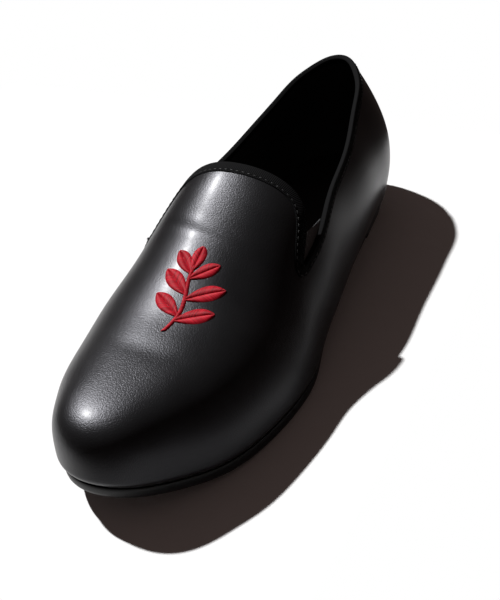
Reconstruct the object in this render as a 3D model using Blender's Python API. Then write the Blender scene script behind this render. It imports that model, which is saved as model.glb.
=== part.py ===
"""Opera shoe for the left foot: a low slip-on with a tab vamp and elastic gores.

The shoe stands on its sole with +Z up, its toe towards -Y and its outer side towards +X.
Sizes are millimetres. A point is first found in the last's own frame, with y measured back
from the toe tip, and is then moved so that the origin lies under the middle of the shoe.
"""

from typing import NamedTuple

import bmesh
import bpy
import numpy as np

MILLIMETRE = 0.001

# Thicknesses and clearances
WALL = 1.8
GAP = 0.3
SOLE_THICKNESS = 5.7
SOLE_EDGE_ROUND = 0.9
INSOLE_THICKNESS = 2.5
INSOLE_INSET = 2.6
GORE_THICKNESS = 1.0
GORE_GAP = 0.45

# Sole edge, which stands out under the toe and is trimmed close and bevelled from the waist back
SOLE_REACH = 0.8
SOLE_UNDERCUT = 0.9
WAIST_REACH = 0.2
WAIST_UNDERCUT = 2.8
FOREFOOT_END_Y = 95.0
WAIST_START_Y = 150.0

# Low heel block, narrower at its foot
HEEL_BREAST_Y = 222.0
HEEL_TOP_INSET = 2.8
HEEL_FOOT_INSET = 4.6
HEEL_EDGE_ROUND = 1.0

# V notch between tongue and quarter, and the tongue's round back edge
NOTCH_Y = 126.0
NOTCH_Z = 48.6
TONGUE_Y = 152.0
TONGUE_SQUARENESS = 7.5
TONGUE_SHOULDER = 0.7

# Lower part of each half section, from the sole edge to the widest point
WIDEST_SHARE = 0.2
LOWER_BULGE = 0.75
LOWER_LIFT = 0.4

# Mesh density
VAMP_STEPS = 24
QUARTER_STEPS = 24
ROWS_TO_NOTCH = 8
ROWS_TO_SPINE = 10
PLATE_STEPS = 46
GORE_STEPS = 6
PROBES = 240
PROBE_STEP = 0.01
MERGE = 0.01
SHARP_ANGLE = np.radians(50)

OUTER = 1
INNER = -1


class Section(NamedTuple):
    """One section of the last, standing on its spine and swung towards toe or heel.

    Each side has its widest reach from the spine, that place's rise over the sole edge, the tuck of
    the sole edge under it, the wall's lean there, and how full the wall and the crown are.
    """

    origin: float
    swing: float
    outer_reach: float
    outer_rise: float
    outer_tuck: float
    outer_lean: float
    outer_wall: float
    outer_crown: float
    inner_reach: float
    inner_rise: float
    inner_tuck: float
    inner_lean: float
    inner_wall: float
    inner_crown: float


SECTIONS = (
    Section(38, 90, 38.6, 5, 1.8, 0.16, 0.82, 0.95, 38.6, 5, 1.8, 0.16, 0.82, 0.95),
    Section(41, 61, 39.6, 4.5, 1.7, 0.14, 0.81, 0.91, 39.2, 7, 2.2, 0.10, 0.78, 0.91),
    Section(46, 32, 40.7, 4, 1.6, 0.14, 0.79, 0.87, 38.8, 9, 2.5, 0.05, 0.71, 0.76),
    Section(55, 6, 48.5, 3.5, 1.5, 0.14, 0.73, 0.79, 43.8, 11, 2.5, 0.02, 0.63, 0.61),
    Section(80, 0, 55.0, 3.5, 1.5, 0.14, 0.65, 0.70, 48.7, 13, 3.0, 0.0, 0.57, 0.53),
    Section(104, 0, 56.1, 3.5, 1.5, 0.14, 0.60, 0.63, 48.8, 13, 4.0, 0.0, 0.55, 0.50),
    Section(128, 0, 53.0, 7, 2.4, 0.10, 0.70, 0.70, 45.0, 14, 6.0, 0.0, 0.57, 0.54),
    Section(153, 0, 49.3, 9.5, 3.3, 0.0, 0.66, 0.67, 41.5, 15, 8.0, 0.0, 0.58, 0.58),
    Section(182, 0, 44.8, 13, 4.1, 0.0, 0.55, 0.53, 36.5, 18, 7.5, 0.0, 0.52, 0.49),
    Section(212, 0, 40.6, 17, 3.6, 0.0, 0.47, 0.45, 34.8, 20, 5.0, 0.0, 0.46, 0.43),
    Section(238, 0, 36.4, 20, 2.8, 0.0, 0.41, 0.41, 33.6, 22, 4.0, 0.0, 0.40, 0.39),
    Section(247, -32, 34.2, 22, 3.2, 0.0, 0.43, 0.42, 33.6, 22, 4.0, 0.0, 0.42, 0.41),
    Section(249, -62, 33.8, 22, 3.8, 0.0, 0.56, 0.56, 33.8, 22, 4.0, 0.0, 0.56, 0.56),
    Section(249, -90, 34.2, 22, 4.0, 0.0, 0.70, 0.76, 34.2, 22, 4.0, 0.0, 0.70, 0.76),
)
FIRST_STRAIGHT = 4
LAST_STRAIGHT = 10
LAST_STATION = len(SECTIONS) - 1


class SoleLine(NamedTuple):
    """Height of the upper's lower edge: toe spring, flat tread, arch and heel lift."""

    y: float
    z: float


SOLE_LINE = (
    SoleLine(0, 21.0),
    SoleLine(26, 11.4),
    SoleLine(58, 6.8),
    SoleLine(80, 5.95),
    SoleLine(94, 5.9),
    SoleLine(108, 5.95),
    SoleLine(126, 6.6),
    SoleLine(160, 9.0),
    SoleLine(195, 12.5),
    SoleLine(230, 14.7),
    SoleLine(284, 15.0),
)


class Spine(NamedTuple):
    """Crest of the last, seen from above (x) and from the side (z)."""

    y: float
    x: float
    z: float


SPINE = (
    Spine(38, -3.5, 50.5),
    Spine(66, -3.5, 53.6),
    Spine(91, -4.0, 60.0),
    Spine(111, -4.5, 67.0),
    Spine(126, -5.0, 73.6),
    Spine(141, -4.5, 80.2),
    Spine(152, -4.0, 84.0),
    Spine(166, -3.2, 86.5),
    Spine(205, -1.2, 90.0),
    Spine(250, 0.0, 93.0),
)


class Topline(NamedTuple):
    """Height of the outer quarter's top edge from the notch to the back of the heel."""

    y: float
    z: float


TOPLINE = (
    Topline(126, 48.6),
    Topline(140, 51.6),
    Topline(165, 58.5),
    Topline(200, 63.5),
    Topline(240, 73.5),
    Topline(284, 83.0),
)

# The inner quarter stands a little higher between its notch and the heel
INNER_LIFT = 3.0
INNER_LIFT_END_Y = 268.0


class GoreRow(NamedTuple):
    """Lower and upper edge of a gore: its front and back end and their heights."""

    front_y: float
    back_y: float
    front_z: float
    back_z: float


GORE_EDGES = (
    GoreRow(119, 134, 42.0, 45.0),
    GoreRow(125, 157, 61.0, 57.0),
)


class Spline:
    """Smooth cubic curve through a few knots, with straight or with level ends."""

    def __init__(self, knots, values, level_ends=False):
        self.knots = np.asarray(knots, float)
        self.values = np.asarray(values, float)
        count = len(self.knots)
        self.steps = np.diff(self.knots)
        rises = np.diff(self.values) / self.steps
        matrix = np.eye(count)
        right = np.zeros(count)
        if level_ends:
            matrix[0, :2] = 2 * self.steps[0], self.steps[0]
            matrix[-1, -2:] = self.steps[-1], 2 * self.steps[-1]
            right[0] = 6 * rises[0]
            right[-1] = -6 * rises[-1]
        for i in range(1, count - 1):
            before = self.steps[i - 1]
            after = self.steps[i]
            matrix[i, i - 1:i + 2] = before, 2 * (before + after), after
            right[i] = 6 * (rises[i] - rises[i - 1])
        self.bends = np.linalg.solve(matrix, right)

    def _piece(self, x):
        inside = np.clip(x, self.knots[0], self.knots[-1])
        index = np.searchsorted(self.knots, inside, side="right") - 1
        index = np.clip(index, 0, len(self.steps) - 1)
        step = self.steps[index]
        bend = self.bends[index]
        next_bend = self.bends[index + 1]
        rise = (self.values[index + 1] - self.values[index]) / step
        linear = rise - step * (2 * bend + next_bend) / 6
        cubic = (next_bend - bend) / (6 * step)
        return index, inside - self.knots[index], linear, bend, cubic

    def at(self, x):
        """Value of the curve."""
        index, t, linear, bend, cubic = self._piece(x)
        return self.values[index] + linear * t + bend / 2 * t**2 + cubic * t**3

    def slope(self, x):
        """First derivative of the curve."""
        _, t, linear, bend, cubic = self._piece(x)
        return linear + bend * t + 3 * cubic * t**2


def table_splines(table, knots, level_ends=False):
    """One spline for each column of a table."""
    fields = table[0]._fields
    return {name: Spline(knots, column, level_ends) for name, column in zip(fields, zip(*table))}


# Both halves meet smoothly at toe and heel, where only the swing goes on turning
STATIONS = table_splines(SECTIONS, np.arange(len(SECTIONS)), level_ends=True)
SWING = Spline(np.arange(len(SECTIONS)), [row.swing for row in SECTIONS])
SOLE_HEIGHT = table_splines(SOLE_LINE, [row.y for row in SOLE_LINE])["z"]
CREST = table_splines(SPINE, [row.y for row in SPINE])
TOP_EDGE = table_splines(TOPLINE, [row.y for row in TOPLINE])["z"]


def bezier(a, b, c, d, t):
    """Cubic curve from a to d with handles b and c."""
    s = 1 - t
    return s**3 * a + 3 * s**2 * t * b + 3 * s * t**2 * c + t**3 * d


def section_columns(station, side):
    """Reach and tuck of one side, with the section's place and direction."""
    name = "outer" if side == OUTER else "inner"
    reach = STATIONS[name + "_reach"].at(station)
    tuck = STATIONS[name + "_tuck"].at(station)
    origin = STATIONS["origin"].at(station)
    swing = np.radians(SWING.at(station))
    return reach, tuck, origin, swing


def section_profile(station, side):
    """Rise of the widest place on one side, the wall's lean there, and fullness of wall and crown."""
    name = "outer" if side == OUTER else "inner"
    return [STATIONS[name + part].at(station) for part in ("_rise", "_lean", "_wall", "_crown")]


def place(origin, swing, radius, z, side):
    """Point at a radius from the spine, along a section's direction."""
    x = CREST["x"].at(origin) + side * np.cos(swing) * radius
    y = origin - np.sin(swing) * radius
    return np.stack([x, y, z + 0 * x], -1)


def last_point(station, share, side):
    """Point of the last: share 0 at the sole edge, 1 on the crest."""
    station, share = np.broadcast_arrays(np.asarray(station, float), np.asarray(share, float))
    reach, tuck, origin, swing = section_columns(station, side)
    low_z = SOLE_HEIGHT.at(origin - np.sin(swing) * (reach - tuck))
    rise, lean, wall, crown = section_profile(station, side)
    wide_z = low_z + rise
    top_z = CREST["z"].at(origin)
    top_slope = -np.maximum(np.sin(swing), 0) * CREST["z"].slope(origin)
    crown_radius = reach * crown
    wall_rise = wall * (top_z - wide_z)

    lower = np.clip(share / WIDEST_SHARE, 0, 1)
    bulge = reach - tuck * (1 - LOWER_BULGE)
    lift = rise * LOWER_LIFT
    lower_radius = bezier(reach - tuck, bulge, reach + lean * lift, reach, lower)
    lower_z = bezier(low_z, low_z + lift, wide_z - lift, wide_z, lower)
    upper = np.clip((share - WIDEST_SHARE) / (1 - WIDEST_SHARE), 0, 1)
    upper_radius = bezier(reach, reach - lean * wall_rise, crown_radius, 0, upper)
    upper_z = bezier(wide_z, wide_z + wall_rise, top_z + top_slope * crown_radius, top_z, upper)

    below = share <= WIDEST_SHARE
    radius = np.where(below, lower_radius, upper_radius)
    z = np.where(below, lower_z, upper_z)
    return place(origin, swing, radius, z, side)


def station_at(y):
    """Station of the straight section that stands at y."""
    stations = np.linspace(FIRST_STRAIGHT, LAST_STRAIGHT, PROBES)
    return np.interp(y, STATIONS["origin"].at(stations), stations)


def share_at_height(y, z, side):
    """Share at which a straight section above its widest point reaches a height."""
    shares = np.linspace(WIDEST_SHARE, 1, PROBES)
    heights = last_point(station_at(y), shares, side)[:, 2]
    return np.interp(z, heights, shares)


def topline_height(y, side):
    """Height of the quarter's top edge on one side."""
    along = np.clip((y - NOTCH_Y) / (INNER_LIFT_END_Y - NOTCH_Y), 0, 1)
    lift = INNER_LIFT * np.sin(np.pi * along) ** 2 if side == INNER else 0
    return TOP_EDGE.at(y) + lift


def topline_share(station, side):
    """Share at which a section meets the quarter's top edge."""
    shares = np.linspace(WIDEST_SHARE, 1, PROBES)
    points = last_point(station, shares, side)
    above = points[:, 2] - topline_height(points[:, 1], side)
    return np.interp(0, above, shares)


def tongue_station(share, notch_share):
    """Station at which the tongue's round back edge crosses a row of the vamp."""
    along = np.clip((share - notch_share) / (1 - notch_share), 0, 1)
    run = (1 - (1 - along) ** TONGUE_SQUARENESS) ** (1 / TONGUE_SHOULDER)
    return station_at(NOTCH_Y + (TONGUE_Y - NOTCH_Y) * run)


def middle_of_last():
    """Middle of the last's outline in plan."""
    stations = np.linspace(0, LAST_STATION, PROBES)
    outline = [last_point(stations, WIDEST_SHARE, side) for side in (OUTER, INNER)]
    points = np.concatenate(outline)
    middle = (points.min(axis=0) + points.max(axis=0)) / 2
    middle[2] = 0
    return middle


MIDDLE = middle_of_last()


def material(name, colour, roughness):
    """Plain finish of one piece."""
    finish = bpy.data.materials.new(name)
    finish.use_nodes = True
    shader = finish.node_tree.nodes["Principled BSDF"]
    shader.inputs["Base Color"].default_value = (*colour, 1)
    shader.inputs["Roughness"].default_value = roughness
    shader.inputs["Metallic"].default_value = 0
    return finish


class Shell:
    """Faces of one piece, gathered in the last's frame and joined where they meet."""

    def __init__(self):
        self.mesh = bmesh.new()

    def vertex(self, point):
        """New vertex at a point in millimetres."""
        return self.mesh.verts.new((np.asarray(point) - MIDDLE) * MILLIMETRE)

    def grid(self, points):
        """Faces over a rectangular grid of points."""
        vertices = [[self.vertex(point) for point in row] for row in points]
        for low, high in zip(vertices, vertices[1:]):
            for i in range(len(low) - 1):
                self.mesh.faces.new((low[i], low[i + 1], high[i + 1], high[i]))

    def finish(self, name, finish, parent):
        """Object of the joined faces."""
        merge = MERGE * MILLIMETRE
        bmesh.ops.remove_doubles(self.mesh, verts=self.mesh.verts, dist=merge)
        bmesh.ops.dissolve_degenerate(self.mesh, edges=self.mesh.edges, dist=merge)
        bmesh.ops.recalc_face_normals(self.mesh, faces=self.mesh.faces)
        data = bpy.data.meshes.new(name)
        self.mesh.to_mesh(data)
        self.mesh.free()
        data.materials.append(finish)
        data.shade_smooth()
        data.set_sharp_from_angle(angle=SHARP_ANGLE)
        piece = bpy.data.objects.new(name, data)
        piece.parent = parent
        bpy.context.scene.collection.objects.link(piece)
        return piece


def vamp_shares(notch_share):
    """Shares of the vamp's rows, from the sole edge through a notch's share to the crest."""
    below = np.linspace(0, notch_share, ROWS_TO_NOTCH + 1)
    above = np.linspace(notch_share, 1, ROWS_TO_SPINE + 1)[1:]
    return np.concatenate([below, above])


def vamp_grid(side):
    """Vamp and tongue of one side, from the toe, where both sides' rows meet, to the tongue's edge."""
    notch_shares = {half: share_at_height(NOTCH_Y, NOTCH_Z, half) for half in (OUTER, INNER)}
    toe_share = (notch_shares[OUTER] + notch_shares[INNER]) / 2
    rows = []
    for first, share in zip(vamp_shares(toe_share), vamp_shares(notch_shares[side])):
        end = tongue_station(share, notch_shares[side])
        stations = np.linspace(0, end, VAMP_STEPS + 1)
        rows.append(last_point(stations, np.linspace(first, share, VAMP_STEPS + 1), side))
    return rows


def quarter_grid(side):
    """Quarter of one side, from the notch line to the back of the heel."""
    stations = np.linspace(station_at(NOTCH_Y), LAST_STATION, QUARTER_STEPS + 1)
    tops = np.array([topline_share(station, side) for station in stations])
    tops[0] = share_at_height(NOTCH_Y, NOTCH_Z, side)
    return [last_point(stations, tops * row / ROWS_TO_NOTCH, side) for row in range(ROWS_TO_NOTCH + 1)]


def build_upper(finish, parent):
    """Hollow upper, open at the collar, the notches and underneath."""
    shell = Shell()
    for side in (OUTER, INNER):
        shell.grid(vamp_grid(side))
        shell.grid(quarter_grid(side))
    upper = shell.finish("upper", finish, parent)
    wall = upper.modifiers.new("Wall", "SOLIDIFY")
    wall.thickness = WALL * MILLIMETRE
    wall.offset = -1
    wall.use_quality_normals = True
    return upper


def edge_ring(stations, reach, height):
    """Outer and inner half of an outline set off from the upper's lower edge."""
    halves = []
    for side in (OUTER, INNER):
        widest, tuck, origin, swing = section_columns(stations, side)
        ring = place(origin, swing, widest - tuck + reach, 0 * stations, side)
        ring[:, 2] = height(ring[:, 1])
        halves.append(ring)
    return halves


def build_plate(name, rings, finish, parent):
    """Closed plate between its top ring and its bottom ring, by way of the rings between."""
    shell = Shell()
    for upper_ring, lower_ring in zip(rings, rings[1:]):
        for high, low in zip(upper_ring, lower_ring):
            shell.grid((high, low))
        front = [(high[0], low[0]) for high, low in zip(upper_ring, lower_ring)]
        if np.ptp(front, axis=0).max() > MERGE:
            shell.grid(front)
    shell.grid(rings[0])
    shell.grid(rings[-1])
    return shell.finish(name, finish, parent)


def forefoot_to_waist(stations, forefoot, waist):
    """Size that changes smoothly from the forefoot to the waist and stays so to the heel."""
    y = STATIONS["origin"].at(stations)
    along = np.clip((y - FOREFOOT_END_Y) / (WAIST_START_Y - FOREFOOT_END_Y), 0, 1)
    return forefoot + (waist - forefoot) * along * along * (3 - 2 * along)


def build_outsole(finish, parent):
    """Thin sole with an undercut edge and a flat tread under the ball."""
    stations = np.linspace(0, LAST_STATION, PLATE_STEPS + 1)
    reach = forefoot_to_waist(stations, SOLE_REACH, WAIST_REACH)
    foot = reach - forefoot_to_waist(stations, SOLE_UNDERCUT, WAIST_UNDERCUT)

    def top(y):
        return SOLE_HEIGHT.at(y) - GAP

    def bottom(y):
        return np.maximum(top(y) - SOLE_THICKNESS, 0)

    def side_foot(y):
        return bottom(y) + SOLE_EDGE_ROUND

    rings = (
        edge_ring(stations, reach, top),
        edge_ring(stations, (reach + foot + SOLE_EDGE_ROUND) / 2, side_foot),
        edge_ring(stations, foot, bottom),
    )
    return build_plate("outsole", rings, finish, parent)


def build_heel(finish, parent):
    """Low block that fills the space between the outsole and the floor."""
    stations = np.linspace(station_at(HEEL_BREAST_Y), LAST_STATION, PLATE_STEPS // 2 + 1)

    def top(y):
        return SOLE_HEIGHT.at(y) - 2 * GAP - SOLE_THICKNESS

    def side_foot(y):
        return 0 * y + HEEL_EDGE_ROUND

    def bottom(y):
        return 0 * y

    rings = (
        edge_ring(stations, -HEEL_TOP_INSET, top),
        edge_ring(stations, -HEEL_FOOT_INSET, side_foot),
        edge_ring(stations, -HEEL_FOOT_INSET - HEEL_EDGE_ROUND, bottom),
    )
    return build_plate("heel", rings, finish, parent)


def build_insole(finish, parent):
    """Sock that lies inside the upper on the sole."""
    stations = np.linspace(0, LAST_STATION, PLATE_STEPS + 1)

    def top(y):
        return SOLE_HEIGHT.at(y) + INSOLE_THICKNESS

    rings = (
        edge_ring(stations, -INSOLE_INSET, top),
        edge_ring(stations, -INSOLE_INSET, SOLE_HEIGHT.at),
    )
    return build_plate("insole", rings, finish, parent)


def gore_face(depth, side):
    """One face of a gore, at a depth inside the upper's outer face."""
    rows = []
    lower, upper = (np.array(edge) for edge in GORE_EDGES)
    for row in np.linspace(0, 1, GORE_STEPS + 1):
        front_y, back_y, front_z, back_z = lower + (upper - lower) * row
        points = []
        for column in np.linspace(0, 1, GORE_STEPS + 1):
            y = front_y + (back_y - front_y) * column
            share = share_at_height(y, front_z + (back_z - front_z) * column, side)
            station = station_at(y)
            point = last_point(station, share, side)
            along = last_point(station + PROBE_STEP, share, side) - point
            across = last_point(station, share + PROBE_STEP, side) - point
            outward = side * np.cross(along, across)
            points.append(point + depth * outward / np.linalg.norm(outward))
        rows.append(points)
    return rows


def build_gore(name, side, finish, parent):
    """Thin elastic panel behind a notch, from under the tongue to under the quarter."""
    shell = Shell()
    depth = WALL + GORE_GAP
    outer_face = gore_face(-depth, side)
    inner_face = gore_face(-depth - GORE_THICKNESS, side)
    shell.grid(outer_face)
    shell.grid(inner_face)
    for row in (0, -1):
        shell.grid((outer_face[row], inner_face[row]))
        ends = [[points[row] for points in face] for face in (outer_face, inner_face)]
        shell.grid(ends)
    return shell.finish(name, finish, parent)


def main():
    """Build the shoe."""
    for old in list(bpy.data.objects):
        bpy.data.objects.remove(old)
    shoe = bpy.data.objects.new("opera_shoe", None)
    bpy.context.scene.collection.objects.link(shoe)

    leather = material("black_leather", (0.012, 0.012, 0.014), 0.38)
    rubber = material("black_sole", (0.015, 0.015, 0.016), 0.5)
    heel_rubber = material("black_heel", (0.013, 0.013, 0.014), 0.55)
    sock = material("black_sock", (0.010, 0.010, 0.011), 0.7)
    outer_elastic = material("outer_elastic", (0.02, 0.02, 0.022), 0.85)
    inner_elastic = material("inner_elastic", (0.02, 0.02, 0.022), 0.85)

    build_upper(leather, shoe)
    build_outsole(rubber, shoe)
    build_heel(heel_rubber, shoe)
    build_insole(sock, shoe)
    build_gore("gore_outer", OUTER, outer_elastic, shoe)
    build_gore("gore_inner", INNER, inner_elastic, shoe)


if __name__ == "__main__":
    main()
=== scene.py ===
"""Looks of the left opera shoe: leather, bound collar, elastic gores, embroidered sprig and studio.

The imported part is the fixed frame. Sizes are millimetres in the last's own frame, with y measured
back from the toe tip, until a mesh is made. A mesh lies in metres, with its origin under the middle
of the shoe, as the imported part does: toe towards -Y, outer side towards +X.
"""

import logging
from abc import ABC, abstractmethod
from collections.abc import Callable, Sequence
from dataclasses import dataclass
from enum import Enum
from typing import NamedTuple

import bmesh
import bpy
import numpy as np
from mathutils import Matrix, Vector
from mathutils.bvhtree import BVHTree


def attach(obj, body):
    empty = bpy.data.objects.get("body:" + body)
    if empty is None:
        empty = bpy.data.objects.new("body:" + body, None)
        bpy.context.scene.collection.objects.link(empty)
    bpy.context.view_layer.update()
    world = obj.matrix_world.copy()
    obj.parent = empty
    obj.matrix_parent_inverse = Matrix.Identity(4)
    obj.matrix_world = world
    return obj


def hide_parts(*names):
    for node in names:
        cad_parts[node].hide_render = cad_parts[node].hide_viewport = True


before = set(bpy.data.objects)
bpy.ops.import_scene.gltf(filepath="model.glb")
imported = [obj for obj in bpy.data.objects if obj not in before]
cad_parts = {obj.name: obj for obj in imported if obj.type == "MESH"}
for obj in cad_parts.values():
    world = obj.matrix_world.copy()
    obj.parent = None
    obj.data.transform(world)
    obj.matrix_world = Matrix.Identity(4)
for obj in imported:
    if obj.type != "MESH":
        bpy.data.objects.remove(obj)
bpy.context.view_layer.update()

Array = np.ndarray
Colour = tuple[float, float, float]
Height = Callable[[Array], Array]

MILLIMETRE = 0.001
# Points closer than this, in millimetres, become one point
MERGE = 0.004
# Least length that a vector is divided by
TINY = 1e-9
# Power that crowds the rows of points towards a notch
NOTCH_CROWDING = 1.5
# Thickness of the outsole, which the heel starts under, in millimetres
SOLE_THICKNESS = 5.7
# Angle in degrees up to which the facets of a thread are shaded as one
THREAD_SHARP = 80.0
# Radians that the wave texture turns through along one unit of scaled length
WAVE_RADIANS = 20.0
# Sockets of the mix node for colours, which share their names with those for numbers
MIX_SHARE = 0
MIX_FIRST = 6
MIX_SECOND = 7
MIX_COLOUR = 2

BODY = "root"
log = logging.getLogger("opera_shoe")


class Side(Enum):
    """Half of the shoe, by the sign of its x direction."""

    OUTER = 1
    INNER = -1

    @property
    def label(self) -> str:
        """Word that starts the names of this side's columns and pieces."""
        return self.name.lower()


class WeaveAxis(Enum):
    """Direction on a piece's weave map, by the letter of its axis."""

    ALONG = "X"
    ACROSS = "Y"


class Section(NamedTuple):
    """One section of the last, standing on its spine and swung towards toe or heel.

    Each side has its widest reach from the spine, that place's rise over the sole edge, the tuck of
    the sole edge under it, the wall's lean there, and how full the wall and the crown are.
    """

    origin: float
    swing: float
    outer_reach: float
    outer_rise: float
    outer_tuck: float
    outer_lean: float
    outer_wall: float
    outer_crown: float
    inner_reach: float
    inner_rise: float
    inner_tuck: float
    inner_lean: float
    inner_wall: float
    inner_crown: float


class SoleLine(NamedTuple):
    """Height of the upper's lower edge: toe spring, flat tread, arch and heel lift."""

    y: float
    z: float


class Spine(NamedTuple):
    """Crest of the last, seen from above (x) and from the side (z)."""

    y: float
    x: float
    z: float


class Topline(NamedTuple):
    """Height of the outer quarter's top edge from the notch to the back of the heel."""

    y: float
    z: float


SECTIONS = (
    Section(38, 90, 38.6, 5, 1.8, 0.16, 0.82, 0.95, 38.6, 5, 1.8, 0.16, 0.82, 0.95),
    Section(41, 61, 39.6, 4.5, 1.7, 0.14, 0.81, 0.91, 39.2, 7, 2.2, 0.10, 0.78, 0.91),
    Section(46, 32, 40.7, 4, 1.6, 0.14, 0.79, 0.87, 38.8, 9, 2.5, 0.05, 0.71, 0.76),
    Section(55, 6, 48.5, 3.5, 1.5, 0.14, 0.73, 0.79, 43.8, 11, 2.5, 0.02, 0.63, 0.61),
    Section(80, 0, 55.0, 3.5, 1.5, 0.14, 0.65, 0.70, 48.7, 13, 3.0, 0.0, 0.57, 0.53),
    Section(104, 0, 56.1, 3.5, 1.5, 0.14, 0.60, 0.63, 48.8, 13, 4.0, 0.0, 0.55, 0.50),
    Section(128, 0, 53.0, 7, 2.4, 0.10, 0.70, 0.70, 45.0, 14, 6.0, 0.0, 0.57, 0.54),
    Section(153, 0, 49.3, 9.5, 3.3, 0.0, 0.66, 0.67, 41.5, 15, 8.0, 0.0, 0.58, 0.58),
    Section(182, 0, 44.8, 13, 4.1, 0.0, 0.55, 0.53, 36.5, 18, 7.5, 0.0, 0.52, 0.49),
    Section(212, 0, 40.6, 17, 3.6, 0.0, 0.47, 0.45, 34.8, 20, 5.0, 0.0, 0.46, 0.43),
    Section(238, 0, 36.4, 20, 2.8, 0.0, 0.41, 0.41, 33.6, 22, 4.0, 0.0, 0.40, 0.39),
    Section(247, -32, 34.2, 22, 3.2, 0.0, 0.43, 0.42, 33.6, 22, 4.0, 0.0, 0.42, 0.41),
    Section(249, -62, 33.8, 22, 3.8, 0.0, 0.56, 0.56, 33.8, 22, 4.0, 0.0, 0.56, 0.56),
    Section(249, -90, 34.2, 22, 4.0, 0.0, 0.70, 0.76, 34.2, 22, 4.0, 0.0, 0.70, 0.76),
)
FIRST_STRAIGHT = 4
LAST_STRAIGHT = 10
LAST_STATION = len(SECTIONS) - 1

SOLE_LINE = (
    SoleLine(0, 21.0),
    SoleLine(26, 11.4),
    SoleLine(58, 6.8),
    SoleLine(80, 5.95),
    SoleLine(94, 5.9),
    SoleLine(108, 5.95),
    SoleLine(126, 6.6),
    SoleLine(160, 9.0),
    SoleLine(195, 12.5),
    SoleLine(230, 14.7),
    SoleLine(284, 15.0),
)

SPINE = (
    Spine(38, -3.5, 50.5),
    Spine(66, -3.5, 53.6),
    Spine(91, -4.0, 60.0),
    Spine(111, -4.5, 67.0),
    Spine(126, -5.0, 73.6),
    Spine(141, -4.5, 80.2),
    Spine(152, -4.0, 84.0),
    Spine(166, -3.2, 86.5),
    Spine(205, -1.2, 90.0),
    Spine(250, 0.0, 93.0),
)

TOPLINE = (
    Topline(126, 48.6),
    Topline(140, 51.6),
    Topline(165, 58.5),
    Topline(200, 63.5),
    Topline(240, 73.5),
    Topline(284, 83.0),
)


def unit(vectors: Array) -> Array:
    """Vectors scaled to length one along their last axis."""
    return vectors / np.maximum(np.linalg.norm(vectors, axis=-1, keepdims=True), TINY)


def ease(share: Array) -> Array:
    """Share from 0 to 1 with soft ends."""
    inside = np.clip(share, 0, 1)
    return inside * inside * (3 - 2 * inside)


def bezier(a: Array, b: Array, c: Array, d: Array, t: Array) -> Array:
    """Cubic curve from a to d with handles b and c."""
    s = 1 - t
    return s**3 * a + 3 * s**2 * t * b + 3 * s * t**2 * c + t**3 * d


class Spline:
    """Smooth cubic curve through a few knots, with straight or with level ends."""

    def __init__(self, knots: Sequence[float], values: Sequence[float], level_ends: bool = False) -> None:
        """Solve for the curve's bend at each knot.

        Args:
            knots: Rising places of the knots.
            values: Value at each knot.
            level_ends: Whether the curve starts and ends with no slope.
        """
        self.knots = np.asarray(knots, float)
        self.values = np.asarray(values, float)
        count = len(self.knots)
        self.steps = np.diff(self.knots)
        rises = np.diff(self.values) / self.steps
        matrix = np.eye(count)
        right = np.zeros(count)
        if level_ends:
            matrix[0, :2] = 2 * self.steps[0], self.steps[0]
            matrix[-1, -2:] = self.steps[-1], 2 * self.steps[-1]
            right[0] = 6 * rises[0]
            right[-1] = -6 * rises[-1]
        for i in range(1, count - 1):
            before = self.steps[i - 1]
            after = self.steps[i]
            matrix[i, i - 1:i + 2] = before, 2 * (before + after), after
            right[i] = 6 * (rises[i] - rises[i - 1])
        self.bends = np.linalg.solve(matrix, right)

    def _piece(self, x: Array) -> tuple[Array, Array, Array, Array, Array]:
        """Stretch of the curve that each x lies in.

        Args:
            x: Places along the knots.

        Returns:
            Index of the stretch, offset into it, and its linear, bend and cubic terms.
        """
        inside = np.clip(x, self.knots[0], self.knots[-1])
        index = np.searchsorted(self.knots, inside, side="right") - 1
        index = np.clip(index, 0, len(self.steps) - 1)
        step = self.steps[index]
        bend = self.bends[index]
        next_bend = self.bends[index + 1]
        rise = (self.values[index + 1] - self.values[index]) / step
        linear = rise - step * (2 * bend + next_bend) / 6
        cubic = (next_bend - bend) / (6 * step)
        return index, inside - self.knots[index], linear, bend, cubic

    def at(self, x: Array) -> Array:
        """Value of the curve."""
        index, t, linear, bend, cubic = self._piece(x)
        return self.values[index] + linear * t + bend / 2 * t**2 + cubic * t**3

    def slope(self, x: Array) -> Array:
        """First derivative of the curve."""
        _, t, linear, bend, cubic = self._piece(x)
        return linear + bend * t + 3 * cubic * t**2


def table_splines(
    table: Sequence[NamedTuple], knots: Sequence[float], level_ends: bool = False
) -> dict[str, Spline]:
    """One spline for each column of a table.

    Args:
        table: Rows with named columns.
        knots: Place of each row.
        level_ends: Whether the splines start and end with no slope.

    Returns:
        The splines by the names of their columns.
    """
    fields = table[0]._fields
    return {name: Spline(knots, column, level_ends) for name, column in zip(fields, zip(*table))}


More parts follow.
